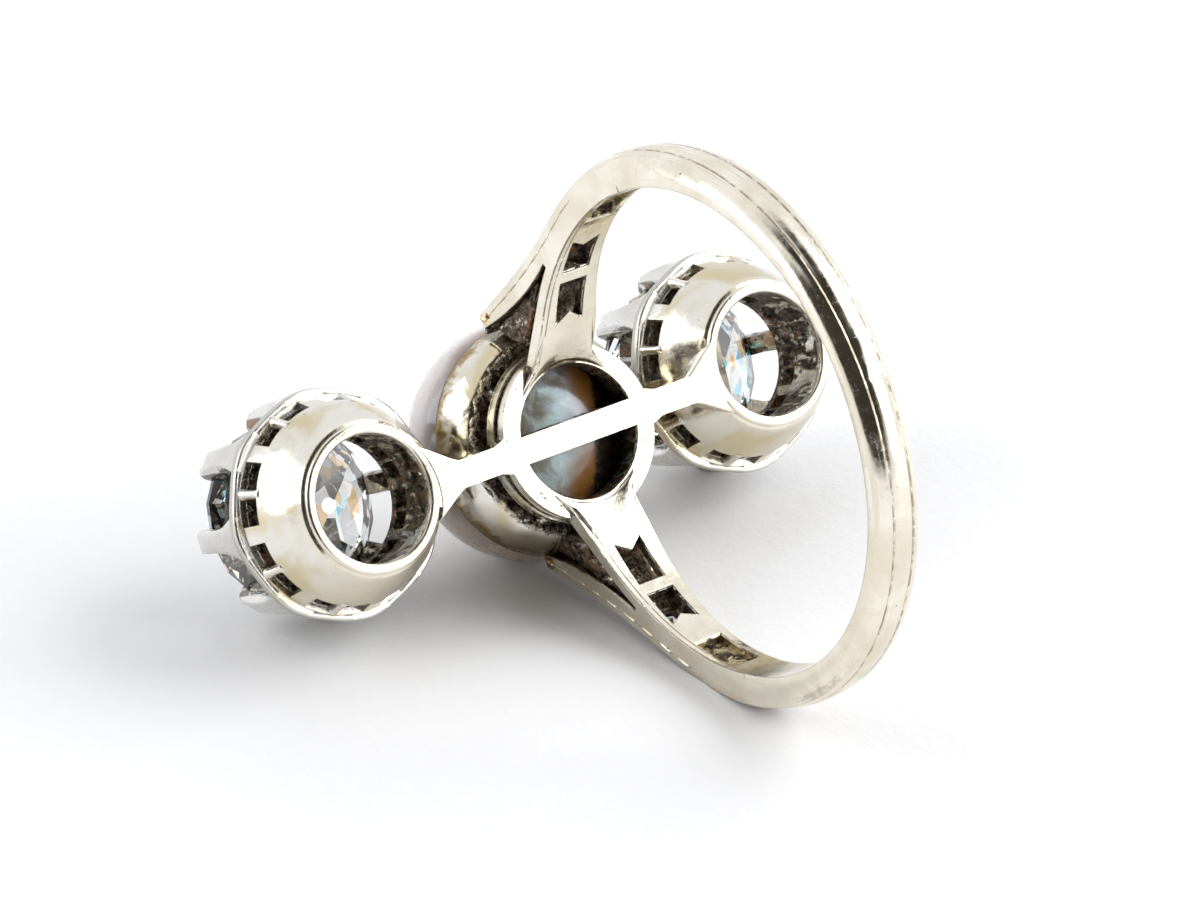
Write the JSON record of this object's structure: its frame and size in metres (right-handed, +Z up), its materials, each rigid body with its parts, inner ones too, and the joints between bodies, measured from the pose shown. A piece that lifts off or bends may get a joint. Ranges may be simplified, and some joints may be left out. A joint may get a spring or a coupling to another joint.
{
  "type": "pearl and diamond ring",
  "caption": "Three-stone finger ring with a pearl in a polished cup between two claw-set diamonds, on forked, pierced shoulders.",
  "frame": {"origin": "bottom centre of the ring's box, as it lies by itself on a flat surface", "axes": "+Z up; the finger's axis runs along Y; the head with its three stones slopes down towards -X"},
  "size_m": [0.0248, 0.0252, 0.0193],
  "materials": {
    "white_gold": "polished, worn and tarnished in the recesses",
    "pearl": "lustrous nacre",
    "diamond": "clear and faceted"
  },
  "bodies": {
    "root": {"mount": "white_gold", "pearl": "pearl", "front_diamond": "diamond", "back_diamond": "diamond", "shoulder_diamond_1": "diamond", "shoulder_diamond_2": "diamond", "shoulder_diamond_3": "diamond", "shoulder_diamond_4": "diamond", "shoulder_diamond_5": "diamond", "shoulder_diamond_6": "diamond", "shoulder_diamond_7": "diamond", "shoulder_diamond_8": "diamond", "shoulder_diamond_9": "diamond", "shoulder_diamond_10": "diamond"}
  },
  "joints": []
}
